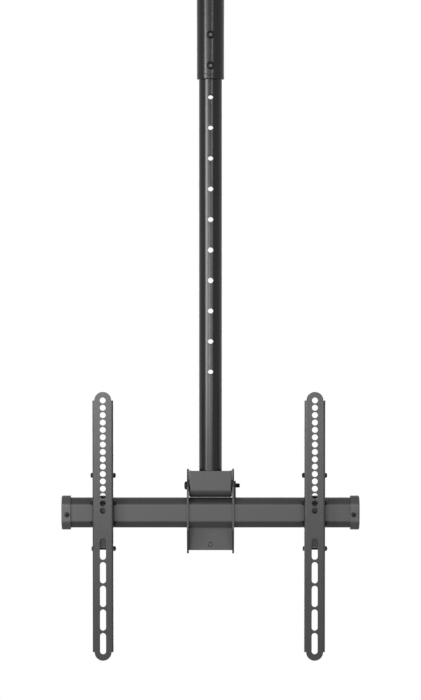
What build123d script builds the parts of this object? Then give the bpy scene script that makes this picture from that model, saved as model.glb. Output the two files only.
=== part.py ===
from build123d import *
import math
import os

# Telescopic ceiling mount for a flat television, in millimetres.
# The pole axis is the Z axis and Z = 0 is the ceiling.
# X runs to the right and the television hangs on the -Y side.

# Ceiling plate with its welded socket
PLATE_SIDE = 150.0
PLATE_THICKNESS = 4.0
PLATE_CORNER_RADIUS = 14.0
CEILING_HOLE_SPACING = 110.0
CEILING_HOLE_DIAMETER = 9.0
SOCKET_LENGTH = 62.0
SOCKET_WALL = 3.0
SOCKET_WELD = 3.0
SOCKET_CLEARANCE = 0.1
SOCKET_BOLT_FIRST = 18.0
SOCKET_BOLT_SPACING = 25.0
SOCKET_BOLT_COUNT = 2

# Outer tube and the bushing in its lower end
TUBE_DIAMETER = 45.0
TUBE_WALL = 2.5
TUBE_LENGTH = 665.0
BUSHING_COLLAR = 9.0
BUSHING_SPIGOT = 6.0
BUSHING_EDGE = 2.0
BUSHING_FIT = 0.05
RUNNING_CLEARANCE = 0.08

# Inner pole and the row of holes that sets the height
POLE_DIAMETER = 38.0
POLE_WALL = 2.0
POLE_LENGTH = 787.5
POLE_HOLE_DIAMETER = 8.8
POLE_HOLE_PITCH = 50.0
POLE_HOLE_COUNT = 12
POLE_TOP_MARGIN = 35.0
GLIDE_RIM = 4.0
GLIDE_SPIGOT = 12.0
GLIDE_WALL = 2.5
HEIGHT_BOLT_COUNT = 2
HEIGHT_BOLT_RISE = 22.0
HEIGHT_BOLT_HEAD_DIAMETER = 13.0
HEIGHT_BOLT_TIP_CLEARANCE = 0.3

# M8 fasteners
M8_DIAMETER = 8.0
M8_HOLE_CLEARANCE = 0.2
M8_HEAD_DIAMETER = 14.0
M8_HEAD_HEIGHT = 4.4
M8_SOCKET_FLATS = 5.0
M8_SOCKET_DEPTH = 2.6
M8_NUT_FLATS = 13.0
M8_NUT_HEIGHT = 6.5
M8_END_BEYOND_NUT = 3.0
HEAD_RIM = 0.8

# Pressed foot on the pole's lower end
FOOT_WIDTH = 70.4
FOOT_SHEET = 3.0
FOOT_BEND = 2.5
FOOT_ROLL = 13.0
FOOT_RISE = 25.7
FOOT_BACK_MARGIN = 1.5
FOOT_BACK_ROUND = 6.0
FOOT_CHEEK_TOP = 16.0
FOOT_HEEL_START = 8.0
FOOT_HEEL_RISE = 8.0
TILT_ABOVE_POLE_END = 15.4

# Folded head round the crossbar
HEAD_SHEET = 3.05
HEAD_BEND = 5.0
HEAD_TOP_RISE = 27.0
HEAD_TOP_WIDTH = 11.0
HEAD_TOP_BACK = 12.0
HEAD_BOTTOM_DROP = 112.0
HEAD_TIP_WIDTH = 11.0
HEAD_FRONT_LIP = 4.5
HEAD_SLOPE_BELOW_BAR = 4.0
HEAD_LOBE = 14.0
HEAD_LOBE_RISE = 9.0
HEAD_CORNER_RADIUS = 3.0
WEB_TOP_BELOW_BAR_TOP = 7.0
WEB_BOTTOM_ABOVE_TIP = 4.0
WEB_RELIEF = 3.0
TILT_WASHER_THICKNESS = 0.4
TILT_WASHER_DIAMETER = 20.0
TILT_SIDE_CLEARANCE = 0.1
TILT_SHAFT_CLEARANCE = 0.08
NUT_PLATE_THICKNESS = 2.8
NUT_PLATE_WIDTH = 16.0
NUT_PLATE_RISE = 8.0
NUT_PLATE_CORNER = 2.0
TILT_BOLT_BEYOND_PLATE = 6.6
TILT_BOLT_TIP_CHAMFER = 1.0
RIVET_DIAMETER = 7.0
RIVET_FLANGE_DIAMETER = 10.0
RIVET_FLANGE_HEIGHT = 1.2
RIVET_ABOVE_WEB_BOTTOM = 9.0
RIVET_GROOVE = 0.5

# Eight-sided crossbar and its end caps
BAR_LENGTH = 482.4
BAR_HEIGHT = 49.2
BAR_DEPTH = 30.0
BAR_CHAMFER = 9.2
BAR_CORNER_RADIUS = 7.0
BAR_WALL = 2.0
BAR_DROP = 43.8
BAR_FORWARD = 6.5
BAR_WEB_GAP = 2.0
BAR_SEAT_CLEARANCE = 0.1
CAP_WALL = 3.2
CAP_END = 3.0
CAP_SKIRT = 12.1
CAP_FIT = 0.1
CAP_EDGE = 2.2
CAP_SCREW_FROM_END = 9.5
CAP_SCREW_BELOW_CENTRE = 2.4
CAP_SCREW_DIAMETER = 3.5
CAP_SCREW_HEAD_DIAMETER = 7.0
CAP_SCREW_HEAD_HEIGHT = 1.8
CAP_SCREW_RECESS_DIAMETER = 9.2
CAP_SCREW_RECESS_DEPTH = 1.6
CAP_SCREW_BEYOND_WALL = 4.0

# Television arms
ARM_LENGTH = 439.2
ARM_WIDTH = 34.0
ARM_DEPTH = 20.0
ARM_SHEET = 2.0
ARM_BEND = 3.2
ARM_END_RADIUS = 13.8
ARM_FLANGE_INSET = 14.0
ARM_FLANGE_CHAMFER = 3.0
ARM_TOP_ABOVE_BAR = 200.0
ARM_BAR_GAP = 1.5
ARM_HOLE_COUNT = 16
ARM_HOLE_PITCH = 12.0
ARM_HOLE_DIAMETER = 9.6
ARM_SLOT_COUNT = 5
ARM_SLOT_PITCH = 38.7
ARM_SLOT_LENGTH = 34.6
ARM_SLOT_WIDTH = 9.7
ARM_LAST_SLOT_RISE = 28.0
LEFT_ARM_X = -175.3
RIGHT_ARM_X = 169.9

# Hook brackets inside the arms
HOOK_SHEET = 2.5
HOOK_BEND = 3.5
HOOK_WEB_GAP = 3.0
HOOK_TOP_RISE = 71.5
HOOK_BOTTOM_DROP = 66.0
HOOK_WEB_TOP_DROP = 12.0
HOOK_WEB_BOTTOM_DROP = 54.0
HOOK_CROWN = 12.0
HOOK_LIP = 9.0
HOOK_LIP_DROP = 6.0
HOOK_CORNER_RADIUS = 4.0
HOOK_BAR_CLEARANCE = 0.4
ARM_SCREW_RISES = (63.0, 18.5, -16.5)
ARM_SCREW_DIAMETER = 5.0
ARM_SCREW_HEAD_DIAMETER = 8.4
ARM_SCREW_HEAD_HEIGHT = 3.6
ARM_SCREW_SOCKET_FLATS = 3.0
ARM_SCREW_SOCKET_DEPTH = 1.6
ARM_SCREW_BEYOND_SHEET = 1.5
ARM_SCREW_FROM_FLANGE_EDGE = 7.0
CROSS_BOLT_DROP = 57.0
CROSS_BOLT_DIAMETER = 4.0
CROSS_BOLT_HEAD_DIAMETER = 7.6
CROSS_BOLT_HEAD_HEIGHT = 2.2
CROSS_BOLT_SOCKET_FLATS = 2.5
CROSS_BOLT_SOCKET_DEPTH = 1.2
CROSS_NUT_FLATS = 7.0
CROSS_NUT_HEIGHT = 3.2
CROSS_BOLT_BEYOND_NUT = 1.0
SCREW_HOLE_CLEARANCE = 0.05

# Heights that follow from the sizes above
TUBE_TOP = -PLATE_THICKNESS
TUBE_BOTTOM = TUBE_TOP - TUBE_LENGTH
BUSHING_BOTTOM = TUBE_BOTTOM - BUSHING_COLLAR
HEIGHT_BOLT_LOWEST = BUSHING_BOTTOM + HEIGHT_BOLT_RISE
HEIGHT_BOLT_LEVELS = [HEIGHT_BOLT_LOWEST + i * POLE_HOLE_PITCH for i in range(HEIGHT_BOLT_COUNT)]
SOCKET_BOLT_HIGHEST = TUBE_TOP - SOCKET_BOLT_FIRST
SOCKET_BOLT_LEVELS = [SOCKET_BOLT_HIGHEST - i * SOCKET_BOLT_SPACING for i in range(SOCKET_BOLT_COUNT)]
POLE_FIRST_HOLE = HEIGHT_BOLT_LEVELS[-1]
POLE_TOP = POLE_FIRST_HOLE + POLE_TOP_MARGIN
POLE_BOTTOM = POLE_TOP - POLE_LENGTH
TILT_LEVEL = POLE_BOTTOM + TILT_ABOVE_POLE_END
BAR_LEVEL = TILT_LEVEL - BAR_DROP
BAR_TOP = BAR_LEVEL + BAR_HEIGHT / 2
WEB_TOP = BAR_TOP - WEB_TOP_BELOW_BAR_TOP
HEAD_BOTTOM = TILT_LEVEL - HEAD_BOTTOM_DROP
WEB_BOTTOM = HEAD_BOTTOM + WEB_BOTTOM_ABOVE_TIP
ARM_TOP = BAR_LEVEL + ARM_TOP_ABOVE_BAR
ARM_BOTTOM = ARM_TOP - ARM_LENGTH
CROSS_BOLT_LEVEL = BAR_LEVEL - CROSS_BOLT_DROP
RIVET_LEVEL = WEB_BOTTOM + RIVET_ABOVE_WEB_BOTTOM

# Radii, widths and depths that follow from the sizes above
TUBE_BORE = TUBE_DIAMETER / 2 - TUBE_WALL
SOCKET_BORE = TUBE_DIAMETER / 2 + SOCKET_CLEARANCE
SOCKET_RADIUS = SOCKET_BORE + SOCKET_WALL
POLE_BORE = POLE_DIAMETER / 2 - POLE_WALL
M8_RADIUS = M8_DIAMETER / 2
TILT_HOLE_RADIUS = M8_RADIUS + TILT_SHAFT_CLEARANCE
FOOT_FRONT = -POLE_DIAMETER / 2 - FOOT_SHEET
FOOT_BACK = POLE_DIAMETER / 2 + FOOT_BACK_MARGIN
FOOT_BOTTOM = POLE_BOTTOM - FOOT_SHEET
HEAD_INNER_WIDTH = FOOT_WIDTH + 2 * (TILT_WASHER_THICKNESS + TILT_SIDE_CLEARANCE)
HEAD_WIDTH = HEAD_INNER_WIDTH + 2 * HEAD_SHEET
BAR_FRONT = -BAR_FORWARD - BAR_DEPTH / 2
BAR_BACK = -BAR_FORWARD + BAR_DEPTH / 2
WEB_FRONT = BAR_BACK + BAR_WEB_GAP
WEB_BACK = WEB_FRONT + HEAD_SHEET
HEAD_FRONT = BAR_FRONT - HEAD_FRONT_LIP
ARM_FLANGE_BACK = BAR_FRONT - ARM_BAR_GAP
ARM_FRONT = ARM_FLANGE_BACK - ARM_DEPTH
HOOK_FRONT = ARM_FRONT + ARM_SHEET + HOOK_WEB_GAP
HOOK_WIDTH = ARM_WIDTH - 2 * ARM_SHEET
ARM_SCREW_Y = ARM_FLANGE_BACK - ARM_SCREW_FROM_FLANGE_EDGE
CUT_MARGIN = 1.0


def rod(start, direction, radius, length):
    """Round rod from a start point along a direction."""
    return extrude(Plane(origin=start, z_dir=direction) * Circle(radius), amount=length)


def placed(shape, origin, direction):
    """Move a piece made along +Z so that its Z axis points along a direction."""
    return Plane(origin=origin, z_dir=direction) * shape


def side_slab(face, x_start, x_end):
    """Extrude a face drawn in the Y-Z plane from one X to another."""
    return extrude(Plane.YZ.offset(x_start) * face, amount=x_end - x_start)


def front_slab(face, y_front, thickness):
    """Extrude a face drawn in the X-Z plane backwards from its front."""
    plane = Plane(origin=(0, y_front + thickness, 0), x_dir=(1, 0, 0), z_dir=(0, -1, 0))
    return extrude(plane * face, amount=thickness)


def level_slab(face, bottom, top):
    """Extrude a face drawn in the X-Y plane from one height to another."""
    return extrude(Pos(0, 0, bottom) * face, amount=top - bottom)


def tube(outer_radius, inner_radius, bottom, top):
    return level_slab(Circle(outer_radius) - Circle(inner_radius), bottom, top)


def hexagon(across_flats):
    return RegularPolygon(across_flats / 2, 6, major_radius=False)


def domed_bolt(radius, length, head_radius, head_height, socket_flats, socket_depth):
    """Socket bolt with a domed head: the head stands on Z = 0 and the shank runs down."""
    crown = hexagon_circle(socket_flats)
    rise = head_height - HEAD_RIM
    middle = (crown + (head_radius - crown) * math.sqrt(0.5), HEAD_RIM + rise * math.sqrt(0.5))
    rim_top = (head_radius, HEAD_RIM)
    crown_edge = (crown, head_height)
    sides = Polyline(
        crown_edge, (0, head_height), (0, -length), (radius, -length), (radius, 0), (head_radius, 0), rim_top)
    outline = sides + ThreePointArc(rim_top, middle, crown_edge)
    bolt = revolve(Plane.XZ * make_face(outline), axis=Axis.Z)
    socket = level_slab(hexagon(socket_flats), head_height - socket_depth, head_height + CUT_MARGIN)
    return bolt - socket


def hexagon_circle(across_flats):
    """Radius of the flat crown round a hexagon socket: the hexagon's corners and a small rim."""
    return across_flats / math.sqrt(3) + HEAD_RIM / 2


def m8_bolt(length, head_diameter):
    return domed_bolt(M8_RADIUS, length, head_diameter / 2, M8_HEAD_HEIGHT, M8_SOCKET_FLATS, M8_SOCKET_DEPTH)


def hex_nut(across_flats, height, bore_radius):
    """Hexagon nut standing on Z = 0, with its corners turned off at both faces."""
    corner = across_flats / math.sqrt(3)
    blank = level_slab(hexagon(across_flats), 0, height)
    turned = chamfer(Cylinder(corner, height, align=(Align.CENTER, Align.CENTER, Align.MIN)).edges(),
                     corner - across_flats / 2, angle=30)
    return (blank & turned) - rod((0, 0, -CUT_MARGIN), (0, 0, 1), bore_radius, height + 2 * CUT_MARGIN)


def channel_face(width, depth, sheet, bend):
    """Section of a folded channel: web along Y = 0, flanges towards +Y."""
    outer = Rectangle(width, depth, align=(Align.CENTER, Align.MIN))
    outer = fillet(outer.vertices().group_by(Axis.Y)[0], bend)
    inner = Pos(0, sheet) * Rectangle(width - 2 * sheet, depth, align=(Align.CENTER, Align.MIN))
    inner = fillet(inner.vertices().group_by(Axis.Y)[0], bend - sheet)
    return outer - inner


def bar_face(grow=0.0):
    """Eight-sided section of the crossbar in the Y-Z plane, grown all round by a clearance."""
    face = chamfer(Rectangle(BAR_DEPTH, BAR_HEIGHT).vertices(), BAR_CHAMFER)
    face = fillet(face.vertices(), BAR_CORNER_RADIUS)
    if grow:
        face = offset(face, amount=grow)
    return Pos(-BAR_FORWARD, BAR_LEVEL) * face


def ceiling_plate():
    plate = level_slab(RectangleRounded(PLATE_SIDE, PLATE_SIDE, PLATE_CORNER_RADIUS), -PLATE_THICKNESS, 0)
    corners = GridLocations(CEILING_HOLE_SPACING, CEILING_HOLE_SPACING, 2, 2)
    screw_holes = Sketch() + corners * Circle(CEILING_HOLE_DIAMETER / 2)
    plate -= level_slab(screw_holes, -PLATE_THICKNESS - CUT_MARGIN, CUT_MARGIN)
    plate += tube(SOCKET_RADIUS, SOCKET_BORE, TUBE_TOP - SOCKET_LENGTH, TUBE_TOP)
    round_edges = plate.edges().filter_by(GeomType.CIRCLE)
    joint_edges = round_edges.filter_by(lambda edge: abs(edge.center().Z - TUBE_TOP) < SOCKET_CLEARANCE)
    weld_edge = joint_edges.filter_by(lambda edge: abs(edge.radius - SOCKET_RADIUS) < SOCKET_CLEARANCE)
    plate = fillet(weld_edge, SOCKET_WELD)
    for level in SOCKET_BOLT_LEVELS:
        plate -= socket_bolt_hole(level)
    return plate


def socket_bolt_hole(level):
    start = (-SOCKET_RADIUS - CUT_MARGIN, 0, level)
    return rod(start, (1, 0, 0), M8_RADIUS + M8_HOLE_CLEARANCE, 2 * (SOCKET_RADIUS + CUT_MARGIN))


def socket_bolts():
    bolt = m8_bolt(2 * SOCKET_RADIUS + M8_NUT_HEIGHT + M8_END_BEYOND_NUT, M8_HEAD_DIAMETER)
    return Part() + [placed(bolt, (-SOCKET_RADIUS, 0, level), (-1, 0, 0)) for level in SOCKET_BOLT_LEVELS]


def socket_nuts():
    nut = hex_nut(M8_NUT_FLATS, M8_NUT_HEIGHT, M8_RADIUS + SCREW_HOLE_CLEARANCE)
    return Part() + [placed(nut, (SOCKET_RADIUS, 0, level), (1, 0, 0)) for level in SOCKET_BOLT_LEVELS]


def outer_tube():
    body = tube(TUBE_DIAMETER / 2, TUBE_BORE, TUBE_BOTTOM, TUBE_TOP)
    for level in SOCKET_BOLT_LEVELS:
        body -= socket_bolt_hole(level)
    for level in HEIGHT_BOLT_LEVELS:
        body -= rod((0, 0, level), (0, -1, 0), M8_RADIUS + SCREW_HOLE_CLEARANCE, TUBE_DIAMETER)
    return body


def tube_end_bushing():
    bore = POLE_DIAMETER / 2 + RUNNING_CLEARANCE
    outer = TUBE_DIAMETER / 2
    spigot = TUBE_BORE - BUSHING_FIT
    spigot_top = TUBE_BOTTOM + BUSHING_SPIGOT
    outline = Polyline(
        (bore, BUSHING_BOTTOM), (outer, BUSHING_BOTTOM), (outer, TUBE_BOTTOM), (spigot, TUBE_BOTTOM),
        (spigot, spigot_top), (bore, spigot_top), close=True)
    bushing = revolve(Plane.XZ * make_face(outline), axis=Axis.Z)
    lower_rim = bushing.edges().filter_by(GeomType.CIRCLE).group_by(Axis.Z)[0].sort_by(SortBy.RADIUS)[-1]
    return fillet(lower_rim, BUSHING_EDGE)


def height_bolts():
    """Bolts that set the height, screwed into the tube's wall with their tips just clear of the pole."""
    bolt = m8_bolt((TUBE_DIAMETER - POLE_DIAMETER) / 2 - HEIGHT_BOLT_TIP_CLEARANCE, HEIGHT_BOLT_HEAD_DIAMETER)
    return Part() + [placed(bolt, (0, -TUBE_DIAMETER / 2, level), (0, -1, 0)) for level in HEIGHT_BOLT_LEVELS]


def inner_pole():
    """Perforated tube whose lower end is coped to sit in the foot."""
    body = tube(POLE_DIAMETER / 2, POLE_BORE, POLE_BOTTOM, POLE_TOP)
    for i in range(POLE_HOLE_COUNT):
        level = POLE_FIRST_HOLE - i * POLE_HOLE_PITCH
        body -= rod((0, -POLE_DIAMETER, level), (0, 1, 0), POLE_HOLE_DIAMETER / 2, 2 * POLE_DIAMETER)
    coped = body - foot_shell() - tilt_bore()
    # The coping cuts scraps off the pole's end, and only the pole itself is kept.
    return coped.solids().sort_by(SortBy.VOLUME)[-1]


def tilt_bore():
    return rod((-HEAD_WIDTH, 0, TILT_LEVEL), (1, 0, 0), TILT_HOLE_RADIUS, 2 * HEAD_WIDTH)


def pole_top_glide():
    """Plug in the pole's upper end, with a rim that guides the pole in the outer tube."""
    rim = TUBE_BORE - RUNNING_CLEARANCE
    spigot = POLE_BORE - BUSHING_FIT
    bore = spigot - GLIDE_WALL
    outline = Polyline(
        (bore, POLE_TOP + GLIDE_RIM), (rim, POLE_TOP + GLIDE_RIM), (rim, POLE_TOP), (spigot, POLE_TOP),
        (spigot, POLE_TOP - GLIDE_SPIGOT), (bore, POLE_TOP - GLIDE_SPIGOT), close=True)
    return revolve(Plane.XZ * make_face(outline), axis=Axis.Z)


def foot_side_face(inset):
    """Side view of the foot, with its front and bottom moved inwards by an inset."""
    front = FOOT_FRONT + inset
    bottom = FOOT_BOTTOM + inset
    top = TILT_LEVEL + FOOT_RISE
    reach = FOOT_BACK + inset
    face = make_face(Polyline(
        (front, bottom), (front, top + inset), (-FOOT_BACK + FOOT_CHEEK_TOP + inset, top + inset),
        (reach, TILT_LEVEL + FOOT_BACK_ROUND + inset), (reach, bottom + FOOT_HEEL_RISE),
        (FOOT_HEEL_START, bottom), close=True))
    roll_corner = face.vertices().group_by(Axis.Y)[0].sort_by(Axis.X)[0]
    return fillet(roll_corner, FOOT_ROLL - inset)


def foot_shell():
    """Pressed cup that holds the pole's end: front panel, side cheeks and a bottom rising to the back."""
    half = FOOT_WIDTH / 2
    blank = side_slab(foot_side_face(0), -half, half)
    folds = blank.edges().filter_by(lambda edge: abs(abs(edge.center().X) - half) < RUNNING_CLEARANCE)
    front_folds = folds.filter_by(lambda edge: abs(edge.center().Y - FOOT_FRONT) < FOOT_ROLL / 2
                                  or abs(edge.center().Z - FOOT_BOTTOM) < FOOT_ROLL / 2)
    blank = fillet(front_folds, FOOT_BEND)
    hollow = side_slab(foot_side_face(FOOT_SHEET), -half + FOOT_SHEET, half - FOOT_SHEET)
    return blank - hollow


def pole_foot():
    return foot_shell() - tilt_bore()


def head_bracket():
    """Folded cradle: two cheeks with openings for the bar, joined by a web behind it."""
    bend_start = WEB_BACK - HEAD_BEND
    top = TILT_LEVEL + HEAD_TOP_RISE
    relief_level = WEB_TOP + WEB_RELIEF
    outline = make_face(Polyline(
        (bend_start, HEAD_BOTTOM), (bend_start - HEAD_TIP_WIDTH, HEAD_BOTTOM),
        (HEAD_FRONT, BAR_LEVEL - BAR_HEIGHT / 2 - HEAD_SLOPE_BELOW_BAR), (HEAD_FRONT, TILT_LEVEL),
        (HEAD_TOP_BACK - HEAD_TOP_WIDTH, top), (HEAD_TOP_BACK, top),
        (HEAD_LOBE, TILT_LEVEL + HEAD_LOBE_RISE), (HEAD_LOBE, relief_level),
        (bend_start, relief_level), close=True))
    corners = outline.vertices().filter_by(lambda corner: abs(corner.Y - relief_level) > SCREW_HOLE_CLEARANCE)
    outline = fillet(corners, HEAD_CORNER_RADIUS)
    opening = bar_face(BAR_SEAT_CLEARANCE)
    cheek = side_slab(outline - opening, HEAD_INNER_WIDTH / 2, HEAD_WIDTH / 2)
    section = Pos(0, WEB_BACK) * Rot(0, 0, 180) * channel_face(HEAD_WIDTH, HEAD_BEND, HEAD_SHEET, HEAD_BEND)
    web = level_slab(section, WEB_BOTTOM, WEB_TOP)
    rivet_radius = RIVET_DIAMETER / 2 + SCREW_HOLE_CLEARANCE
    rivet_start = (0, WEB_FRONT - CUT_MARGIN, RIVET_LEVEL)
    rivet_hole = rod(rivet_start, (0, 1, 0), rivet_radius, HEAD_SHEET + 2 * CUT_MARGIN)
    bracket = (cheek + mirror(cheek, Plane.YZ) + web) - tilt_bore() - rivet_hole
    return chamfer(front_circle(bracket, rivet_radius), RIVET_GROOVE)


def front_circle(shape, radius):
    """Round edge of the given radius on the front face of the head's web."""
    circles = shape.edges().filter_by(GeomType.CIRCLE)
    level = circles.filter_by(lambda edge: abs(edge.center().Y - WEB_FRONT) < SCREW_HOLE_CLEARANCE)
    return level.filter_by(lambda edge: abs(edge.radius - radius) < SCREW_HOLE_CLEARANCE)


def tilt_bolt():
    bolt = m8_bolt(HEAD_WIDTH + NUT_PLATE_THICKNESS + TILT_BOLT_BEYOND_PLATE, M8_HEAD_DIAMETER)
    tip = bolt.edges().filter_by(GeomType.CIRCLE).group_by(Axis.Z)[0]
    bolt = chamfer(tip, TILT_BOLT_TIP_CHAMFER)
    return placed(bolt, (-HEAD_WIDTH / 2, 0, TILT_LEVEL), (-1, 0, 0))


def tilt_nut_plate():
    """Threaded plate that stands on the bar, so that it can't turn with the bolt."""
    height = TILT_LEVEL + NUT_PLATE_RISE - BAR_TOP
    face = Pos(0, BAR_TOP) * Rectangle(NUT_PLATE_WIDTH, height, align=(Align.CENTER, Align.MIN))
    face = fillet(face.vertices().group_by(Axis.Y)[-1], NUT_PLATE_CORNER)
    plate = side_slab(face, HEAD_WIDTH / 2, HEAD_WIDTH / 2 + NUT_PLATE_THICKNESS)
    return plate - rod((0, 0, TILT_LEVEL), (1, 0, 0), M8_RADIUS + SCREW_HOLE_CLEARANCE, HEAD_WIDTH)


def tilt_washers():
    ring = tube(TILT_WASHER_DIAMETER / 2, M8_RADIUS + SCREW_HOLE_CLEARANCE, 0, TILT_WASHER_THICKNESS)
    right = placed(ring, (HEAD_INNER_WIDTH / 2, 0, TILT_LEVEL), (-1, 0, 0))
    return right + mirror(right, Plane.YZ)


def panel_rivet():
    """Flush rivet in the web: its set head is at the back and a ring groove runs round its front end."""
    shank = rod((0, WEB_FRONT, RIVET_LEVEL), (0, 1, 0), RIVET_DIAMETER / 2, HEAD_SHEET)
    shank = chamfer(front_circle(shank, RIVET_DIAMETER / 2), RIVET_GROOVE)
    return shank + rod((0, WEB_BACK, RIVET_LEVEL), (0, 1, 0), RIVET_FLANGE_DIAMETER / 2, RIVET_FLANGE_HEIGHT)


def crossbar():
    half = BAR_LENGTH / 2
    bar = side_slab(bar_face() - bar_face(-BAR_WALL), -half, half)
    for side in (-1, 1):
        bar -= cap_screw_hole(side, BAR_DEPTH / 2)
    return bar


def cap_screw_point(side):
    """Point on the front of an end cap's recess floor, on the screw's axis."""
    x = side * (BAR_LENGTH / 2 + CAP_END - CAP_SCREW_FROM_END)
    y = BAR_FRONT - CAP_FIT - CAP_WALL + CAP_SCREW_RECESS_DEPTH
    return (x, y, BAR_LEVEL - CAP_SCREW_BELOW_CENTRE)


def cap_screw_hole(side, depth):
    return rod(cap_screw_point(side), (0, 1, 0), CAP_SCREW_DIAMETER / 2 + SCREW_HOLE_CLEARANCE, depth)


def end_cap(side):
    """Moulded cap that slips over the bar's end."""
    half = BAR_LENGTH / 2
    blank = side_slab(bar_face(CAP_FIT + CAP_WALL), half - CAP_SKIRT, half + CAP_END)
    end_rim = blank.faces().sort_by(Axis.X)[-1].edges()
    blank = fillet(end_rim, CAP_EDGE)
    cap = blank - side_slab(bar_face(CAP_FIT), half - CAP_SKIRT - CUT_MARGIN, half)
    cap -= rod(cap_screw_point(1), (0, -1, 0), CAP_SCREW_RECESS_DIAMETER / 2, CAP_WALL)
    cap -= cap_screw_hole(1, CAP_WALL)
    return cap if side > 0 else mirror(cap, Plane.YZ)


def end_cap_screws():
    length = CAP_WALL - CAP_SCREW_RECESS_DEPTH + CAP_FIT + BAR_WALL + CAP_SCREW_BEYOND_WALL
    head_radius = CAP_SCREW_HEAD_DIAMETER / 2
    screw = domed_bolt(CAP_SCREW_DIAMETER / 2, length, head_radius, CAP_SCREW_HEAD_HEIGHT,
                       CAP_SCREW_DIAMETER - HEAD_RIM, CAP_SCREW_HEAD_HEIGHT / 2)
    return Part() + [placed(screw, cap_screw_point(side), (0, -1, 0)) for side in (-1, 1)]


def tv_arm(x):
    """Folded channel with a rounded tab at each end, a row of holes above and slots below."""
    section = channel_face(ARM_WIDTH, ARM_DEPTH, ARM_SHEET, ARM_BEND)
    section = Pos(0, ARM_FRONT) * section
    channel = level_slab(section, ARM_BOTTOM + ARM_FLANGE_INSET, ARM_TOP - ARM_FLANGE_INSET)
    lower_corners = channel.edges().filter_by(Axis.X).group_by(Axis.Z)[0].group_by(Axis.Y)[-1]
    channel = chamfer(lower_corners, ARM_FLANGE_CHAMFER)
    tab = Pos(0, (ARM_TOP + ARM_BOTTOM) / 2) * Rot(0, 0, 90) * SlotOverall(ARM_LENGTH, 2 * ARM_END_RADIUS)
    arm = channel + front_slab(tab, ARM_FRONT, ARM_SHEET)
    holes = [Pos(0, ARM_TOP - ARM_END_RADIUS - i * ARM_HOLE_PITCH) * Circle(ARM_HOLE_DIAMETER / 2)
             for i in range(ARM_HOLE_COUNT)]
    slots = [Pos(0, ARM_BOTTOM + ARM_LAST_SLOT_RISE + i * ARM_SLOT_PITCH) * Rot(0, 0, 90)
             * SlotOverall(ARM_SLOT_LENGTH, ARM_SLOT_WIDTH) for i in range(ARM_SLOT_COUNT)]
    arm -= front_slab(Sketch() + holes + slots, ARM_FRONT - CUT_MARGIN, ARM_SHEET + 2 * CUT_MARGIN)
    return Pos(x, 0, 0) * (arm - arm_fastener_holes())


def arm_fastener_holes():
    """Holes for the arm's own screws, across the arm and the bracket inside it."""
    start = -ARM_WIDTH
    screw_radius = ARM_SCREW_DIAMETER / 2 + SCREW_HOLE_CLEARANCE
    bolt_radius = CROSS_BOLT_DIAMETER / 2 + SCREW_HOLE_CLEARANCE
    screw_holes = [rod((start, ARM_SCREW_Y, BAR_LEVEL + rise), (1, 0, 0), screw_radius, 2 * ARM_WIDTH)
                   for rise in ARM_SCREW_RISES]
    bolt_hole = rod((start, ARM_SCREW_Y, CROSS_BOLT_LEVEL), (1, 0, 0), bolt_radius, 2 * ARM_WIDTH)
    return Part() + screw_holes + bolt_hole


def hook_bracket(x):
    """Folded bracket: two side plates that hook over the bar, with a web below it and a bridge on its top."""
    front = HOOK_FRONT + HOOK_BEND
    strip_back = BAR_FRONT - HOOK_BAR_CLEARANCE
    lip_back = BAR_BACK + HOOK_BAR_CLEARANCE + HOOK_LIP
    strip = box_face(front, strip_back, BAR_LEVEL - HOOK_BOTTOM_DROP, BAR_LEVEL + HOOK_TOP_RISE)
    crown = box_face(front, lip_back, BAR_LEVEL - HOOK_LIP_DROP, BAR_TOP + HOOK_BAR_CLEARANCE + HOOK_CROWN)
    outline = strip + crown - bar_face(HOOK_BAR_CLEARANCE)
    plate = side_slab(outline, HOOK_WIDTH / 2 - HOOK_SHEET, HOOK_WIDTH / 2)
    section = Pos(0, HOOK_FRONT) * channel_face(HOOK_WIDTH, HOOK_BEND, HOOK_SHEET, HOOK_BEND)
    web = level_slab(section, BAR_LEVEL - HOOK_WEB_BOTTOM_DROP, BAR_LEVEL - HOOK_WEB_TOP_DROP)
    bridge_face = Pos(0, -BAR_FORWARD) * Rectangle(HOOK_WIDTH - HOOK_SHEET, BAR_DEPTH - 2 * BAR_CHAMFER)
    bridge_bottom = BAR_TOP + HOOK_BAR_CLEARANCE
    bridge = level_slab(bridge_face, bridge_bottom, bridge_bottom + HOOK_SHEET)
    bracket = plate + mirror(plate, Plane.YZ) + web + bridge
    return Pos(x, 0, 0) * (bracket - arm_fastener_holes())


def box_face(y_front, y_back, bottom, top):
    """Rectangle in the Y-Z plane with rounded corners."""
    middle = Pos((y_front + y_back) / 2, (bottom + top) / 2)
    return middle * RectangleRounded(y_back - y_front, top - bottom, HOOK_CORNER_RADIUS)


def arm_screws(x):
    length = ARM_SHEET + HOOK_SHEET + ARM_SCREW_BEYOND_SHEET
    screw = domed_bolt(ARM_SCREW_DIAMETER / 2, length, ARM_SCREW_HEAD_DIAMETER / 2, ARM_SCREW_HEAD_HEIGHT,
                       ARM_SCREW_SOCKET_FLATS, ARM_SCREW_SOCKET_DEPTH)
    return Part() + [placed(screw, (x + side * ARM_WIDTH / 2, ARM_SCREW_Y, BAR_LEVEL + rise), (side, 0, 0))
                     for side in (-1, 1) for rise in ARM_SCREW_RISES]


def cross_bolt(x):
    length = ARM_WIDTH + CROSS_NUT_HEIGHT + CROSS_BOLT_BEYOND_NUT
    bolt = domed_bolt(CROSS_BOLT_DIAMETER / 2, length, CROSS_BOLT_HEAD_DIAMETER / 2, CROSS_BOLT_HEAD_HEIGHT,
                      CROSS_BOLT_SOCKET_FLATS, CROSS_BOLT_SOCKET_DEPTH)
    return placed(bolt, (x - ARM_WIDTH / 2, ARM_SCREW_Y, CROSS_BOLT_LEVEL), (-1, 0, 0))


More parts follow.
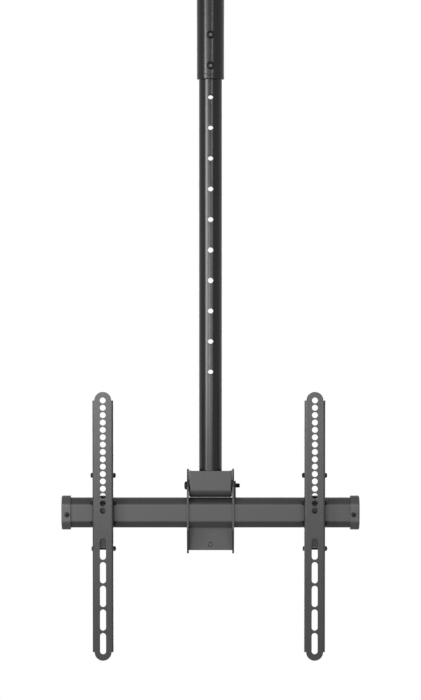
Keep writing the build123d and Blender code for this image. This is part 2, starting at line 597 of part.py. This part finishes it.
def cross_nut(x):
    nut = hex_nut(CROSS_NUT_FLATS, CROSS_NUT_HEIGHT, CROSS_BOLT_DIAMETER / 2 + SCREW_HOLE_CLEARANCE)
    return placed(nut, (x + ARM_WIDTH / 2, ARM_SCREW_Y, CROSS_BOLT_LEVEL), (1, 0, 0))


pieces = {
    "ceiling_plate": ceiling_plate(),
    "socket_bolts": socket_bolts(),
    "socket_nuts": socket_nuts(),
    "outer_tube": outer_tube(),
    "tube_end_bushing": tube_end_bushing(),
    "height_bolts": height_bolts(),
    "inner_pole": inner_pole(),
    "pole_top_glide": pole_top_glide(),
    "pole_foot": pole_foot(),
    "head_bracket": head_bracket(),
    "tilt_bolt": tilt_bolt(),
    "tilt_nut_plate": tilt_nut_plate(),
    "tilt_washers": tilt_washers(),
    "panel_rivet": panel_rivet(),
    "crossbar": crossbar(),
    "end_cap_left": end_cap(-1),
    "end_cap_right": end_cap(1),
    "end_cap_screws": end_cap_screws(),
}
for name, x in (("left", LEFT_ARM_X), ("right", RIGHT_ARM_X)):
    pieces[f"tv_arm_{name}"] = tv_arm(x)
    pieces[f"hook_bracket_{name}"] = hook_bracket(x)
    pieces[f"arm_screws_{name}"] = arm_screws(x)
    pieces[f"cross_bolt_{name}"] = cross_bolt(x)
    pieces[f"cross_nut_{name}"] = cross_nut(x)

os.makedirs("parts", exist_ok=True)
for node, shape in pieces.items():
    export_step(shape, f"parts/{node}.step")
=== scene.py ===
import math

import bmesh
import bpy
from mathutils import Matrix, Vector


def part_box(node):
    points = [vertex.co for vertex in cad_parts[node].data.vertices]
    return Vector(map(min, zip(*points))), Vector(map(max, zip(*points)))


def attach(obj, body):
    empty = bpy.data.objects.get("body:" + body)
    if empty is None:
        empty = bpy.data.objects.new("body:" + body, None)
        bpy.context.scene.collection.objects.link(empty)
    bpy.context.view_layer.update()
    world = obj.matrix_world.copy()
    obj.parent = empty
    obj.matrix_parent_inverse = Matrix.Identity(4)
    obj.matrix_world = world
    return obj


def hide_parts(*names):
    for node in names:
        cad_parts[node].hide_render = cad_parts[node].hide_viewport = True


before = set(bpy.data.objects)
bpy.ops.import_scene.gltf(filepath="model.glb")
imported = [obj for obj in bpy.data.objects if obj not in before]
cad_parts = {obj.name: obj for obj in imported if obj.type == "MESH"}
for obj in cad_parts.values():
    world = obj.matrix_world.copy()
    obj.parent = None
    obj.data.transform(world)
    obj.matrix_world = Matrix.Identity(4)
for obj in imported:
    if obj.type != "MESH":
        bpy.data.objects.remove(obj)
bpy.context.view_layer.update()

# The camera: a long lens, a little above the crossbar, looking slightly down. Metres and image pixels.
IMAGE_HEIGHT = 700
EYE_DISTANCE = 4.0
EYE_LEVEL = -0.9887
PITCH_DOWN = 1.881
FOCAL_PIXELS = 2436.0
SENSOR_HEIGHT = 36.0

# Studio: a pale floor under the hanging mount and softboxes round it
FLOOR_LEVEL = -2.1
FLOOR_SIDE = 3.0
SURROUND_GREY = 0.08
FLOOR_GLOW = 0.5
FLOOR_SHADES = (0.43, 0.47)
FLOOR_GRAIN = 60.0
VIEW_REACH = 100.0

# Finishes. Lengths in metres, noise scales per metre.
EDGE_RADIUS = 0.0009
# Spread of the lighter edge shade, a painted edge highlight, over the edge mask
EDGE_LEAN_START = 0.995
EDGE_LEAN_FULL = 0.80
MOTTLE_SCALE = 22.0
MOTTLE_SPREAD = 0.08
GLOSS_SPREAD = 0.04
SPECK_TO_GRAIN = 1.7
PEEL_STRENGTH = 0.25
SPECK_STRENGTH = 0.12
BLUE_TINT = 1.01


def new_tree(material):
    material.use_nodes = True
    tree = material.node_tree
    tree.nodes.clear()
    return tree


def node(tree, kind, links=None, **values):
    """Add a node, set its properties and sockets, and link what feeds it."""
    made = tree.nodes.new(kind)
    for key, value in values.items():
        if hasattr(made, key):
            setattr(made, key, value)
        else:
            made.inputs[key].default_value = value
    for socket, source in (links or {}).items():
        tree.links.new(source, made.inputs[socket])
    return made


def grey(level):
    return (level, level, level * BLUE_TINT, 1.0)


def edge_mask(tree, radius):
    """The rounded normal, and how well it agrees with the true one: 1 on flat faces and less along edges."""
    rounded = node(tree, "ShaderNodeBevel", samples=6, Radius=radius)
    flat = node(tree, "ShaderNodeNewGeometry")
    lean = node(tree, "ShaderNodeVectorMath",
                {0: rounded.outputs["Normal"], 1: flat.outputs["True Normal"]}, operation="DOT_PRODUCT")
    return rounded, lean.outputs["Value"]


def coated_metal(name, shade, edge_glint_shade, roughness, grain, grain_depth, specular):
    """Dark baked coat: a fine orange-peel skin, uneven gloss, faint mottling, and edges painted lighter: a
    painted edge highlight, partly coat worn thin.
    """
    material = bpy.data.materials.new(name)
    tree = new_tree(material)
    place = node(tree, "ShaderNodeTexCoord").outputs["Object"]
    peel = node(tree, "ShaderNodeTexNoise", {"Vector": place}, Scale=grain, Detail=3.0, Roughness=0.55)
    speck = node(tree, "ShaderNodeTexVoronoi", {"Vector": place}, Scale=grain * SPECK_TO_GRAIN)
    mottle = node(tree, "ShaderNodeTexNoise", {"Vector": place}, Scale=MOTTLE_SCALE, Detail=4.0,
                  Roughness=0.6)
    rounded, lean = edge_mask(tree, EDGE_RADIUS)
    # Edge mask: where the rounded normal leans from the true one, the colour is painted lighter as an edge
    # highlight, partly coat worn thin
    edge_highlight_mask = node(tree, "ShaderNodeMapRange", {"Value": lean})
    edge_highlight_mask.inputs["From Min"].default_value = EDGE_LEAN_START
    edge_highlight_mask.inputs["From Max"].default_value = EDGE_LEAN_FULL
    cloud = node(tree, "ShaderNodeMapRange", {"Value": mottle.outputs["Fac"]})
    cloud.inputs["From Min"].default_value = 0.3
    cloud.inputs["From Max"].default_value = 0.7
    base = node(tree, "ShaderNodeMix", {"Factor": cloud.outputs["Result"]}, data_type="RGBA")
    base.inputs[6].default_value = grey(shade * (1.0 - MOTTLE_SPREAD))
    base.inputs[7].default_value = grey(shade * (1.0 + MOTTLE_SPREAD))
    # Mix in the lighter edge shade: a painted edge highlight
    edge_lit_colour = node(tree, "ShaderNodeMix", {"Factor": edge_highlight_mask.outputs["Result"]}, data_type="RGBA")
    tree.links.new(base.outputs[2], edge_lit_colour.inputs[6])
    edge_lit_colour.inputs[7].default_value = grey(edge_glint_shade)
    gloss = node(tree, "ShaderNodeMapRange", {"Value": peel.outputs["Fac"]})
    gloss.inputs["From Min"].default_value = 0.25
    gloss.inputs["From Max"].default_value = 0.75
    gloss.inputs["To Min"].default_value = roughness - GLOSS_SPREAD
    gloss.inputs["To Max"].default_value = roughness + GLOSS_SPREAD
    skin = node(tree, "ShaderNodeBump", {"Height": peel.outputs["Fac"], "Normal": rounded.outputs["Normal"]},
                Strength=PEEL_STRENGTH, Distance=grain_depth)
    grit = node(tree, "ShaderNodeBump",
                {"Height": speck.outputs["Distance"], "Normal": skin.outputs["Normal"]},
                Strength=SPECK_STRENGTH, Distance=grain_depth)
    shader = node(tree, "ShaderNodeBsdfPrincipled",
                  {"Base Color": edge_lit_colour.outputs[2], "Roughness": gloss.outputs["Result"],
                   "Normal": grit.outputs["Normal"]})
    shader.inputs["Specular IOR Level"].default_value = specular
    node(tree, "ShaderNodeOutputMaterial", {"Surface": shader.outputs["BSDF"]})
    return material


# Name, shade, edge shade (a painted edge highlight, partly coat worn thin), roughness, grain scale, grain
# depth, specular level
arm_coat = coated_metal("satin_arm_coat", 0.0275, 0.044, 0.26, 900.0, 0.00002, 0.35)
frame_coat = coated_metal("matt_frame_coat", 0.0168, 0.034, 0.44, 900.0, 0.00004, 0.53)
# The hook brackets take a darker copy of the frame coat: painted shade for where they sit in the arms'
# shadow
shaded_bracket_coat = coated_metal("painted_shade_bracket_coat", 0.0077, 0.022, 0.42, 900.0, 0.00004, 0.29)
tube_coat = coated_metal("smooth_tube_coat", 0.004, 0.010, 0.24, 1500.0, 0.00001, 0.30)
cap_plastic = coated_metal("moulded_black_plastic", 0.055, 0.074, 0.34, 1800.0, 0.00002, 0.38)
collar_plastic = coated_metal("glossy_black_plastic", 0.004, 0.012, 0.24, 1500.0, 0.00001, 0.29)
# Its edge shade is far lighter than its body: painted glints along the head and recess edges
black_steel = coated_metal("blackened_steel", 0.004, 0.022, 0.24, 2600.0, 0.00002, 0.15)
# Lighter steel for the hex recess floor: a painted glint in the recess
recess_glint_steel = coated_metal("painted_glint_socket_steel", 0.090, 0.170, 0.30, 2600.0, 0.00002, 0.45)

TUBE_NODES = ("outer_tube", "inner_pole")
ARM_NODES = ("tv_arm_left", "tv_arm_right")
CAP_NODES = ("end_cap_left", "end_cap_right")
COLLAR_NODES = ("tube_end_bushing", "pole_top_glide")
BRACKET_NODES = ("hook_bracket_left", "hook_bracket_right")
FASTENER_WORDS = ("bolt", "screw", "nut", "washer")
for name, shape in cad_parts.items():
    if name in TUBE_NODES:
        finish = tube_coat
    elif name in CAP_NODES:
        finish = cap_plastic
    elif name in COLLAR_NODES:
        finish = collar_plastic
    # Hook brackets get the darker coat, painted shade
    elif name in BRACKET_NODES:
        finish = shaded_bracket_coat
    elif any(word in name for word in FASTENER_WORDS):
        finish = black_steel
    elif name in ARM_NODES:
        finish = arm_coat
    else:
        finish = frame_coat
    shape.data.materials.clear()
    shape.data.materials.append(finish)


# Fasteners, in metres, as the solids have them
LATHE_STEPS = 48
SCREW_RIM = 0.0008
TILT_BOLT_PLAIN = 0.0765
SOCKET_BOLT_PLAIN = 0.048
CROSS_BOLT_PLAIN = 0.028
ARM_SCREW_LENGTH = 0.006
ARM_SCREW_MIDDLE_RISE = 0.035
THREAD_STEPS = 24
THREAD_BURY = 0.0001
SHARP_ANGLE = 32

# Parts of a thread's pitch
THREAD_DEPTH = 0.6
THREAD_CHAMFER = 0.3
THREAD_FOOT = 0.42
THREAD_CREST = 0.06
THREAD_START = 0.8

# Parts of other sizes
SHANK_BURY = SCREW_RIM / 8
HEAD_BORE = 0.5
CROSS_TAPER = 0.6
M8 = {"radius": 0.0040, "head_radius": 0.0070, "head_height": 0.0044, "recess_width": 0.0050,
      "recess_depth": 0.0026, "pitch": 0.00125}
HEIGHT_BOLT = dict(M8, head_radius=0.0065)
ARM_SCREW = {"radius": 0.0025, "head_radius": 0.0042, "head_height": 0.0036, "recess_width": 0.0030,
             "recess_depth": 0.0016, "pitch": 0.0008}
CROSS_BOLT = {"radius": 0.0020, "head_radius": 0.0038, "head_height": 0.0022, "recess_width": 0.0025,
              "recess_depth": 0.0012, "pitch": 0.0007}
CAP_SCREW = {"radius": 0.00175, "head_radius": 0.0035, "head_height": 0.0018, "recess_width": 0.0036,
             "recess_depth": 0.0011, "pitch": 0.0008, "cross": True}


def loop_edges(shell, height):
    """Open edges that lie at one height."""
    return [edge for edge in shell.edges if edge.is_boundary or edge.is_wire
            if all(abs(corner.co.z - height) < 1e-7 for corner in edge.verts)]


def lathe(shell, outline):
    """Spin a half outline, given as radius and height pairs, round the Z axis."""
    points = [shell.verts.new((radius, 0.0, height)) for radius, height in outline]
    sides = [shell.edges.new(pair) for pair in zip(points, points[1:])]
    bmesh.ops.spin(shell, geom=points + sides, cent=(0, 0, 0), axis=(0, 0, 1), angle=math.tau,
                   steps=LATHE_STEPS, use_merge=True)


def recess_outline(shell, width, height, cross):
    """Outline of the tool recess, a hexagon or a cross, with as many points as the lathe makes."""
    if cross:
        arm, slot = width / 2, width / 9
        corners = [(arm, -slot), (arm, slot), (slot, slot)]
        points = [shell.verts.new((x * turn.x - y * turn.y, x * turn.y + y * turn.x, height))
                  for turn in (Vector((1, 0)), Vector((0, 1)), Vector((-1, 0)), Vector((0, -1)))
                  for x, y in corners]
        sides = [shell.edges.new((points[i - 1], points[i])) for i in range(len(points))]
    else:
        ring = bmesh.ops.create_circle(shell, segments=6, radius=width / math.sqrt(3),
                                       matrix=Matrix.Translation((0, 0, height)))
        sides = list({edge for corner in ring["verts"] for edge in corner.link_edges})
    cuts = LATHE_STEPS // len(sides) - 1
    made = bmesh.ops.subdivide_edges(shell, edges=sides, cuts=cuts)
    return list({item for item in made["geom"] if isinstance(item, bmesh.types.BMEdge)} | set(sides))


def screw_head(shell, size):
    """Domed head standing on Z = 0, with its tool recess."""
    crown = size["recess_width"] / math.sqrt(3) + SCREW_RIM / 2
    rise = size["head_height"] - SCREW_RIM
    dome = [(crown + (size["head_radius"] - crown) * math.cos(turn), SCREW_RIM + rise * math.sin(turn))
            for turn in (math.radians(step) for step in range(90, -1, -10))]
    lathe(shell, dome + [(size["head_radius"] - SCREW_RIM / 4, 0.0), (size["radius"] * HEAD_BORE, 0.0)])
    rim = loop_edges(shell, size["head_height"])
    opening = recess_outline(shell, size["recess_width"], size["head_height"], size.get("cross", False))
    bmesh.ops.bridge_loops(shell, edges=rim + opening)
    walls = bmesh.ops.extrude_edge_only(shell, edges=opening)["geom"]
    floor = [item for item in walls if isinstance(item, bmesh.types.BMVert)]
    bmesh.ops.translate(shell, verts=floor, vec=(0, 0, -size["recess_depth"]))
    if size.get("cross"):
        bmesh.ops.scale(shell, verts=floor, vec=(CROSS_TAPER, CROSS_TAPER, 1.0))
    bottom = [item for item in walls if isinstance(item, bmesh.types.BMEdge)]
    base = bmesh.ops.contextual_create(shell, geom=bottom)
    # The hex recess floor takes the second slot, lighter steel painted as a glint
    if not size.get("cross"):
        for face in base["faces"]:
            face.material_index = 1
    bmesh.ops.holes_fill(shell, edges=loop_edges(shell, 0.0), sides=LATHE_STEPS)


def screw_shank(shell, size, length, plain):
    """Shank below the head: plain for a stretch, then a core with a helical ridge round it."""
    radius, pitch = size["radius"], size["pitch"]
    core = radius - THREAD_DEPTH * pitch
    outline = [(radius * HEAD_BORE, -SHANK_BURY), (radius, -SHANK_BURY)]
    if plain > 0:
        outline += [(radius, -plain)]
    else:
        outline[-1] = (core, -SHANK_BURY)
    chamfer = THREAD_CHAMFER * pitch
    outline += [(core, -plain - chamfer), (core, chamfer - length), (core - chamfer, -length)]
    lathe(shell, outline)
    for height in (-SHANK_BURY, -length):
        bmesh.ops.holes_fill(shell, edges=loop_edges(shell, height), sides=LATHE_STEPS)
    turns = (length - plain) / pitch - 2 * THREAD_START
    start = -length + THREAD_START * pitch
    ridge = [(core - THREAD_BURY, -THREAD_FOOT * pitch), (radius, -THREAD_CREST * pitch),
             (radius, THREAD_CREST * pitch), (core - THREAD_BURY, THREAD_FOOT * pitch)]
    points = [shell.verts.new((reach, 0.0, start + height)) for reach, height in ridge]
    sides = [shell.edges.new((points[i - 1], points[i])) for i in range(len(points))]
    steps = max(6, round(turns * THREAD_STEPS))
    made = bmesh.ops.spin(shell, geom=points + sides, cent=(0, 0, 0), axis=(0, 0, 1),
                          dvec=(0, 0, turns * pitch / steps), angle=turns * math.tau, steps=steps)
    ends = [sides, [item for item in made["geom_last"] if isinstance(item, bmesh.types.BMEdge)]]
    for end in ends:
        bmesh.ops.contextual_create(shell, geom=end)


def fasteners(piece_name, stands_for, body, size, length, plain, places):
    """One piece with a screw at each place, given as a seat point and the way that its head faces."""
    shell = bmesh.new()
    for seat, facing in places:
        one = bmesh.new()
        screw_head(one, size)
        screw_shank(one, size, length, plain)
        bmesh.ops.recalc_face_normals(one, faces=one.faces)
        turn = Vector(facing).to_track_quat("Z", "Y").to_matrix().to_4x4()
        bmesh.ops.transform(one, matrix=Matrix.Translation(seat) @ turn, verts=one.verts)
        spare = bpy.data.meshes.new("one_screw")
        one.to_mesh(spare)
        one.free()
        shell.from_mesh(spare)
        bpy.data.meshes.remove(spare)
    mesh = bpy.data.meshes.new(piece_name)
    shell.to_mesh(mesh)
    shell.free()
    mesh.shade_smooth()
    mesh.set_sharp_from_angle(angle=math.radians(SHARP_ANGLE))
    mesh.materials.append(black_steel)
    # Second slot: the lighter steel of the painted recess glint
    mesh.materials.append(recess_glint_steel)
    piece = bpy.data.objects.new(piece_name, mesh)
    bpy.context.collection.objects.link(piece)
    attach(piece, body)
    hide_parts(stands_for)


def softbox(name, place, target, width, height, watts):
    """Rectangular softbox at a place, facing a target."""
    lamp = bpy.data.lights.new(name, "AREA")
    lamp.shape = "RECTANGLE"
    lamp.size = width
    lamp.size_y = height
    lamp.energy = watts
    holder = bpy.data.objects.new(name, lamp)
    bpy.context.collection.objects.link(holder)
    aim = (Vector(target) - Vector(place)).to_track_quat("-Z", "Y")
    holder.matrix_world = Matrix.Translation(place) @ aim.to_matrix().to_4x4()


# Name, place, target, width, height, watts
softbox("left_strip", (-2.3, -2.5, -0.84), (0.0, 0.0, -0.84), 0.8, 1.35, 70.0)
softbox("left_inner_strip", (-1.5, -3.1, -0.84), (0.0, 0.0, -0.84), 0.5, 1.35, 14.0)
softbox("front_strip", (0.0, -4.4, -1.32), (0.0, 0.0, -1.2), 3.2, 0.5, 37.5)
softbox("front_left_box", (-0.9, -4.2, -1.05), (0.0, 0.0, -1.2), 0.8, 0.6, 31.0)
softbox("right_glint", (1.05, -4.1, -0.50), (0.0, 0.0, -0.7), 0.40, 0.8, 19.0)
softbox("back_fill", (0.0, 3.6, -1.2), (0.0, 0.0, -1.2), 3.0, 2.0, 30.0)


def node_middle(name):
    low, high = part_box(name)
    return [(a + b) / 2 for a, b in zip(low, high)]


def all_fasteners():
    """Each screw set sits where its solid is: seats are read from the solids' boxes."""
    low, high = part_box("tilt_bolt")
    middle = node_middle("tilt_bolt")
    seat = (low[0] + M8["head_height"], middle[1], middle[2])
    fasteners("threaded_tilt_bolt", "tilt_bolt", "head", M8, high[0] - seat[0], TILT_BOLT_PLAIN,
              [(seat, (-1, 0, 0))])

    low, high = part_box("height_bolts")
    reach = HEIGHT_BOLT["head_radius"]
    seats = [(0.0, low[1] + HEIGHT_BOLT["head_height"], level)
             for level in (low[2] + reach, high[2] - reach)]
    fasteners("height_bolt_pair", "height_bolts", "ceiling_tube", HEIGHT_BOLT, high[1] - seats[0][1], 0.0,
              [(seat, (0, -1, 0)) for seat in seats])

    low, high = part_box("socket_bolts")
    reach = M8["head_radius"]
    seats = [(low[0] + M8["head_height"], 0.0, level) for level in (low[2] + reach, high[2] - reach)]
    fasteners("threaded_socket_bolts", "socket_bolts", "ceiling_tube", M8, high[0] - seats[0][0],
              SOCKET_BOLT_PLAIN, [(seat, (-1, 0, 0)) for seat in seats])

    for side in ("left", "right"):
        body = side + "_arm"
        name = "cross_bolt_" + side
        low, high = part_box(name)
        middle = node_middle(name)
        seat = (low[0] + CROSS_BOLT["head_height"], middle[1], middle[2])
        fasteners("threaded_" + name, name, body, CROSS_BOLT, high[0] - seat[0], CROSS_BOLT_PLAIN,
                  [(seat, (-1, 0, 0))])

        name = "arm_screws_" + side
        low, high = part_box(name)
        middle = node_middle(name)
        reach = ARM_SCREW["head_radius"]
        top, bottom = high[2] - reach, low[2] + reach
        levels = (top, bottom + ARM_SCREW_MIDDLE_RISE, bottom)
        outer = ARM_SCREW["head_height"]
        places = [((x, middle[1], level), (facing, 0, 0)) for level in levels
                  for x, facing in ((low[0] + outer, -1), (high[0] - outer, 1))]
        fasteners("socket_" + name, name, body, ARM_SCREW, ARM_SCREW_LENGTH, 0.0, places)

    low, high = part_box("end_cap_screws")
    middle = node_middle("end_cap_screws")
    reach = CAP_SCREW["head_radius"]
    seats = [(x, low[1] + CAP_SCREW["head_height"], middle[2])
             for x in (low[0] + reach, high[0] - reach)]
    fasteners("cross_head_cap_screws", "end_cap_screws", "head", CAP_SCREW, high[1] - seats[0][1], 0.0,
              [(seat, (0, -1, 0)) for seat in seats])


all_fasteners()


def seen_directly(tree):
    """1 where the surroundings are seen, straight or in a reflection, and 0 for the light that they give."""
    rays = node(tree, "ShaderNodeLightPath").outputs
    seen = node(tree, "ShaderNodeMath", {0: rays["Is Camera Ray"], 1: rays["Is Glossy Ray"]},
                operation="MAXIMUM")
    seen = node(tree, "ShaderNodeMath", {0: seen.outputs[0], 1: rays["Is Transmission Ray"]},
                operation="MAXIMUM")
    return seen.outputs[0]


def studio():
    scene = bpy.context.scene
    scene.view_settings.view_transform = "Standard"
    world = bpy.data.worlds.new("white_studio")
    scene.world = world
    tree = new_tree(world)
    seen = seen_directly(tree)
    dim = node(tree, "ShaderNodeBackground", Color=(1.0, 1.0, 1.0, 1.0), Strength=SURROUND_GREY)
    white = node(tree, "ShaderNodeBackground", Color=(1.0, 1.0, 1.0, 1.0), Strength=1.0)
    mixed = node(tree, "ShaderNodeMixShader", {0: seen, 1: dim.outputs[0], 2: white.outputs[0]})
    node(tree, "ShaderNodeOutputWorld", {"Surface": mixed.outputs[0]})

    sheet = bpy.data.meshes.new("studio_floor")
    shell = bmesh.new()
    bmesh.ops.create_grid(shell, x_segments=1, y_segments=1, size=FLOOR_SIDE / 2,
                          matrix=Matrix.Translation((0.0, 0.0, FLOOR_LEVEL)))
    shell.to_mesh(sheet)
    shell.free()
    floor = bpy.data.objects.new("studio_floor", sheet)
    bpy.context.collection.objects.link(floor)
    paper = bpy.data.materials.new("pale_paper")
    tree = new_tree(paper)
    place = node(tree, "ShaderNodeTexCoord").outputs["Object"]
    fibre = node(tree, "ShaderNodeTexNoise", {"Vector": place}, Scale=FLOOR_GRAIN, Detail=3.0)
    tint = node(tree, "ShaderNodeMix", {"Factor": fibre.outputs["Fac"]}, data_type="RGBA")
    for socket, shade in zip((6, 7), FLOOR_SHADES):
        tint.inputs[socket].default_value = (shade, shade, shade, 1.0)
    cover = node(tree, "ShaderNodeBsdfDiffuse", {"Color": tint.outputs[2]})
    level = node(tree, "ShaderNodeMath", {0: seen_directly(tree)}, operation="MULTIPLY")
    level.inputs[1].default_value = FLOOR_GLOW
    glow = node(tree, "ShaderNodeEmission", {"Strength": level.outputs[0]})
    both = node(tree, "ShaderNodeAddShader", {0: cover.outputs[0], 1: glow.outputs[0]})
    node(tree, "ShaderNodeOutputMaterial", {"Surface": both.outputs[0]})
    sheet.materials.append(paper)


def camera():
    lens = bpy.data.cameras.new("front_view")
    lens.sensor_fit = "VERTICAL"
    lens.sensor_height = SENSOR_HEIGHT
    lens.lens = SENSOR_HEIGHT * FOCAL_PIXELS / IMAGE_HEIGHT
    lens.clip_end = VIEW_REACH
    eye = bpy.data.objects.new("front_view", lens)
    bpy.context.collection.objects.link(eye)
    eye.location = (0.0, -EYE_DISTANCE, EYE_LEVEL)
    eye.rotation_euler = (math.radians(90.0 - PITCH_DOWN), 0.0, 0.0)
    bpy.context.scene.camera = eye


studio()
camera()
